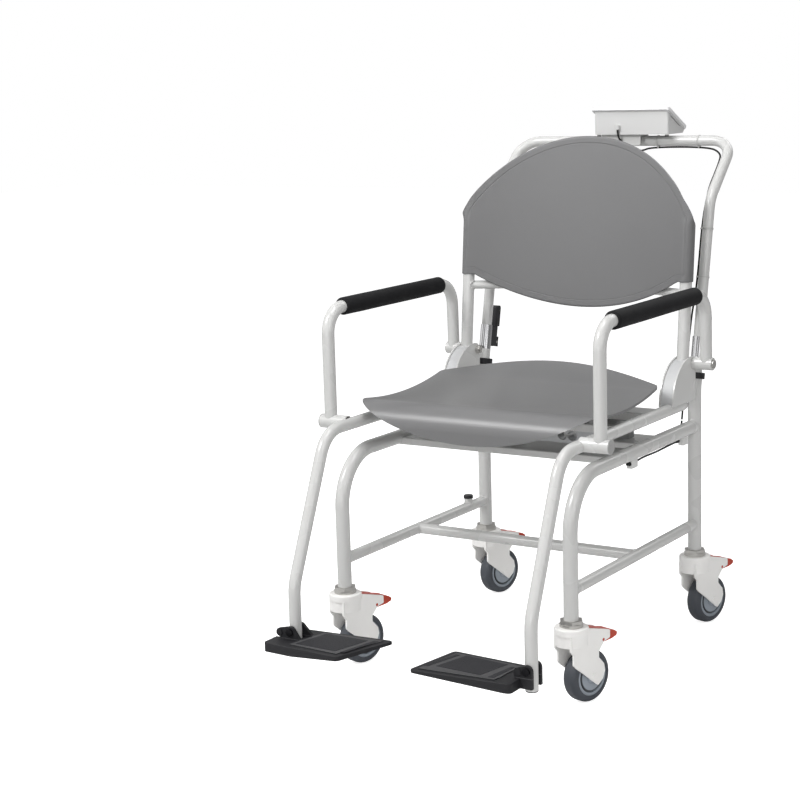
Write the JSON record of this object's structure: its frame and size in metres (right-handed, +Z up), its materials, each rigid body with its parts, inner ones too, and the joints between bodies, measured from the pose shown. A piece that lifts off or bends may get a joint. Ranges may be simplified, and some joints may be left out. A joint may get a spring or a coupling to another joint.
{
  "type": "digital chair scale",
  "caption": "Wheeled weighing chair with load cells under the seat, fold-up arms and foot plates, push handle and indicator.",
  "frame": {"origin": "on the floor, under the middle of the whole scale", "axes": "+Z up, +X to the sitter's left across the chair, +Y to the back, so the chair faces -Y"},
  "size_m": [0.636, 1.0597, 1.075],
  "materials": {
    "frame_paint": "semi-gloss",
    "cover_plastic": "satin",
    "cell_alloy": "machined",
    "seat_plastic": "satin",
    "panel_weave": "woven",
    "dark_plastic": "satin",
    "pad_foam": "soft foam",
    "chrome_plate": "polished",
    "zinc_plate": "zinc plated",
    "caster_plastic": "satin",
    "tyre_rubber": "smooth",
    "hub_plastic": "satin",
    "pedal_plastic": "satin",
    "case_plastic": "satin",
    "face_plastic": "satin",
    "window_plastic": "clear front",
    "key_rubber": "soft",
    "cable_sheath": "smooth",
    "clip_plastic": "satin",
    "plate_plastic": "fine grain"
  },
  "bodies": {
    "frame": {"arm_stubs": "frame_paint", "back_brackets": "frame_paint", "back_cross_tube": "frame_paint", "back_panel": "panel_weave", "back_posts": "frame_paint", "base_side_tubes": "frame_paint", "bracket_covers": "cover_plastic", "cable_clips": "clip_plastic", "caster_collars": "zinc_plate", "clamp_blocks": "dark_plastic", "clamp_sleeves": "chrome_plate", "load_cell_cable": "cable_sheath", "load_cells": "cell_alloy", "load_trays": "frame_paint", "lower_cross_tube": "frame_paint", "lower_side_rails": "frame_paint", "pivot_pins": "zinc_plate", "post_rings": "dark_plastic", "rear_posts": "frame_paint", "seat_channels": "frame_paint", "seat_shell": "seat_plastic", "seat_standoffs": "dark_plastic", "seat_tubes": "frame_paint", "tube_plugs": "dark_plastic"},
    "push_handle": {"cable_ties": "dark_plastic", "display_window": "window_plastic", "handle_tube": "frame_paint", "indicator_cable": "cable_sheath", "indicator_case": "case_plastic", "indicator_face": "face_plastic", "indicator_saddle": "frame_paint"},
    "key_1": {"key_1": "key_rubber"},
    "key_2": {"key_2": "key_rubber"},
    "key_3": {"key_3": "key_rubber"},
    "key_4": {"key_4": "key_rubber"},
    "key_5": {"key_5": "key_rubber"},
    "arm_right": {"arm_tube_right": "frame_paint", "arm_pad_right": "pad_foam"},
    "lever_right": {"clamp_lever_right": "dark_plastic"},
    "footplate_right": {"footplate_right": "plate_plastic"},
    "arm_left": {"arm_tube_left": "frame_paint", "arm_pad_left": "pad_foam"},
    "lever_left": {"clamp_lever_left": "dark_plastic"},
    "footplate_left": {"footplate_left": "plate_plastic"},
    "fork_front_right": {"caster_fork_front_right": "caster_plastic"},
    "wheel_front_right": {"tyre_front_right": "tyre_rubber", "hub_front_right": "hub_plastic"},
    "pedal_front_right": {"brake_pedal_front_right": "pedal_plastic"},
    "fork_front_left": {"caster_fork_front_left": "caster_plastic"},
    "wheel_front_left": {"tyre_front_left": "tyre_rubber", "hub_front_left": "hub_plastic"},
    "pedal_front_left": {"brake_pedal_front_left": "pedal_plastic"},
    "fork_rear_right": {"caster_fork_rear_right": "caster_plastic"},
    "wheel_rear_right": {"tyre_rear_right": "tyre_rubber", "hub_rear_right": "hub_plastic"},
    "pedal_rear_right": {"brake_pedal_rear_right": "pedal_plastic"},
    "fork_rear_left": {"caster_fork_rear_left": "caster_plastic"},
    "wheel_rear_left": {"tyre_rear_left": "tyre_rubber", "hub_rear_left": "hub_plastic"},
    "pedal_rear_left": {"brake_pedal_rear_left": "pedal_plastic"}
  },
  "joints": [
    {"name": "handle_height", "type": "slide", "parent": "frame", "child": "push_handle", "axis": [0, 0.2079, 0.9781], "range_m": [0, 0.06]},
    {"name": "key_1_press", "type": "slide", "parent": "push_handle", "child": "key_1", "axis": [0, -0.4384, -0.8988], "range_m": [0, 0.0005], "stiffness_N_per_m": 600},
    {"name": "key_2_press", "type": "slide", "parent": "push_handle", "child": "key_2", "axis": [0, -0.4384, -0.8988], "range_m": [0, 0.0005], "stiffness_N_per_m": 600},
    {"name": "key_3_press", "type": "slide", "parent": "push_handle", "child": "key_3", "axis": [0, -0.4384, -0.8988], "range_m": [0, 0.0005], "stiffness_N_per_m": 600},
    {"name": "key_4_press", "type": "slide", "parent": "push_handle", "child": "key_4", "axis": [0, -0.4384, -0.8988], "range_m": [0, 0.0005], "stiffness_N_per_m": 600},
    {"name": "key_5_press", "type": "slide", "parent": "push_handle", "child": "key_5", "axis": [0, -0.4384, -0.8988], "range_m": [0, 0.0005], "stiffness_N_per_m": 600},
    {"name": "arm_right_fold", "type": "hinge", "parent": "frame", "child": "arm_right", "pos_m": [0.296, 0.2202, 0.566], "axis": [-1, 0, 0], "range_deg": [0, 95]},
    {"name": "clamp_lever_right_swing", "type": "hinge", "parent": "frame", "child": "lever_right", "pos_m": [0.251, 0.31686, 0.56773], "axis": [-1, 0, 0], "range_deg": [0, 100]},
    {"name": "footplate_right_fold", "type": "hinge", "parent": "frame", "child": "footplate_right", "pos_m": [0.256, -0.4623, 0.119], "axis": [0, 1, 0], "range_deg": [0, 85]},
    {"name": "arm_left_fold", "type": "hinge", "parent": "frame", "child": "arm_left", "pos_m": [-0.296, 0.2202, 0.566], "axis": [-1, 0, 0], "range_deg": [0, 95]},
    {"name": "clamp_lever_left_swing", "type": "hinge", "parent": "frame", "child": "lever_left", "pos_m": [-0.251, 0.31686, 0.56773], "axis": [-1, 0, 0], "range_deg": [0, 100]},
    {"name": "footplate_left_fold", "type": "hinge", "parent": "frame", "child": "footplate_left", "pos_m": [-0.256, -0.4623, 0.119], "axis": [0, -1, 0], "range_deg": [0, 85]},
    {"name": "swivel_front_right", "type": "hinge", "parent": "frame", "child": "fork_front_right", "pos_m": [0.251, -0.2983, 0.155], "axis": [0, 0, 1], "continuous": true},
    {"name": "roll_front_right", "type": "hinge", "parent": "fork_front_right", "child": "wheel_front_right", "pos_m": [0.26179, -0.26187, 0.05], "axis": [0.9588, -0.284, 0], "continuous": true},
    {"name": "brake_front_right_press", "type": "hinge", "parent": "fork_front_right", "child": "pedal_front_right", "pos_m": [0.26875, -0.23837, 0.117], "axis": [-0.9588, 0.284, 0], "range_deg": [0, 12]},
    {"name": "swivel_front_left", "type": "hinge", "parent": "frame", "child": "fork_front_left", "pos_m": [-0.251, -0.2983, 0.155], "axis": [0, 0, 1], "continuous": true},
    {"name": "roll_front_left", "type": "hinge", "parent": "fork_front_left", "child": "wheel_front_left", "pos_m": [-0.24021, -0.26187, 0.05], "axis": [0.9588, -0.284, 0], "continuous": true},
    {"name": "brake_front_left_press", "type": "hinge", "parent": "fork_front_left", "child": "pedal_front_left", "pos_m": [-0.23325, -0.23837, 0.117], "axis": [-0.9588, 0.284, 0], "range_deg": [0, 12]},
    {"name": "swivel_rear_right", "type": "hinge", "parent": "frame", "child": "fork_rear_right", "pos_m": [0.251, 0.2657, 0.155], "axis": [0, 0, 1], "continuous": true},
    {"name": "roll_rear_right", "type": "hinge", "parent": "fork_rear_right", "child": "wheel_rear_right", "pos_m": [0.26179, 0.30213, 0.05], "axis": [0.9588, -0.284, 0], "continuous": true},
    {"name": "brake_rear_right_press", "type": "hinge", "parent": "fork_rear_right", "child": "pedal_rear_right", "pos_m": [0.26875, 0.32563, 0.117], "axis": [-0.9588, 0.284, 0], "range_deg": [0, 12]},
    {"name": "swivel_rear_left", "type": "hinge", "parent": "frame", "child": "fork_rear_left", "pos_m": [-0.251, 0.2657, 0.155], "axis": [0, 0, 1], "continuous": true},
    {"name": "roll_rear_left", "type": "hinge", "parent": "fork_rear_left", "child": "wheel_rear_left", "pos_m": [-0.24021, 0.30213, 0.05], "axis": [0.9588, -0.284, 0], "continuous": true},
    {"name": "brake_rear_left_press", "type": "hinge", "parent": "fork_rear_left", "child": "pedal_rear_left", "pos_m": [-0.23325, 0.32563, 0.117], "axis": [-0.9588, 0.284, 0], "range_deg": [0, 12]}
  ]
}
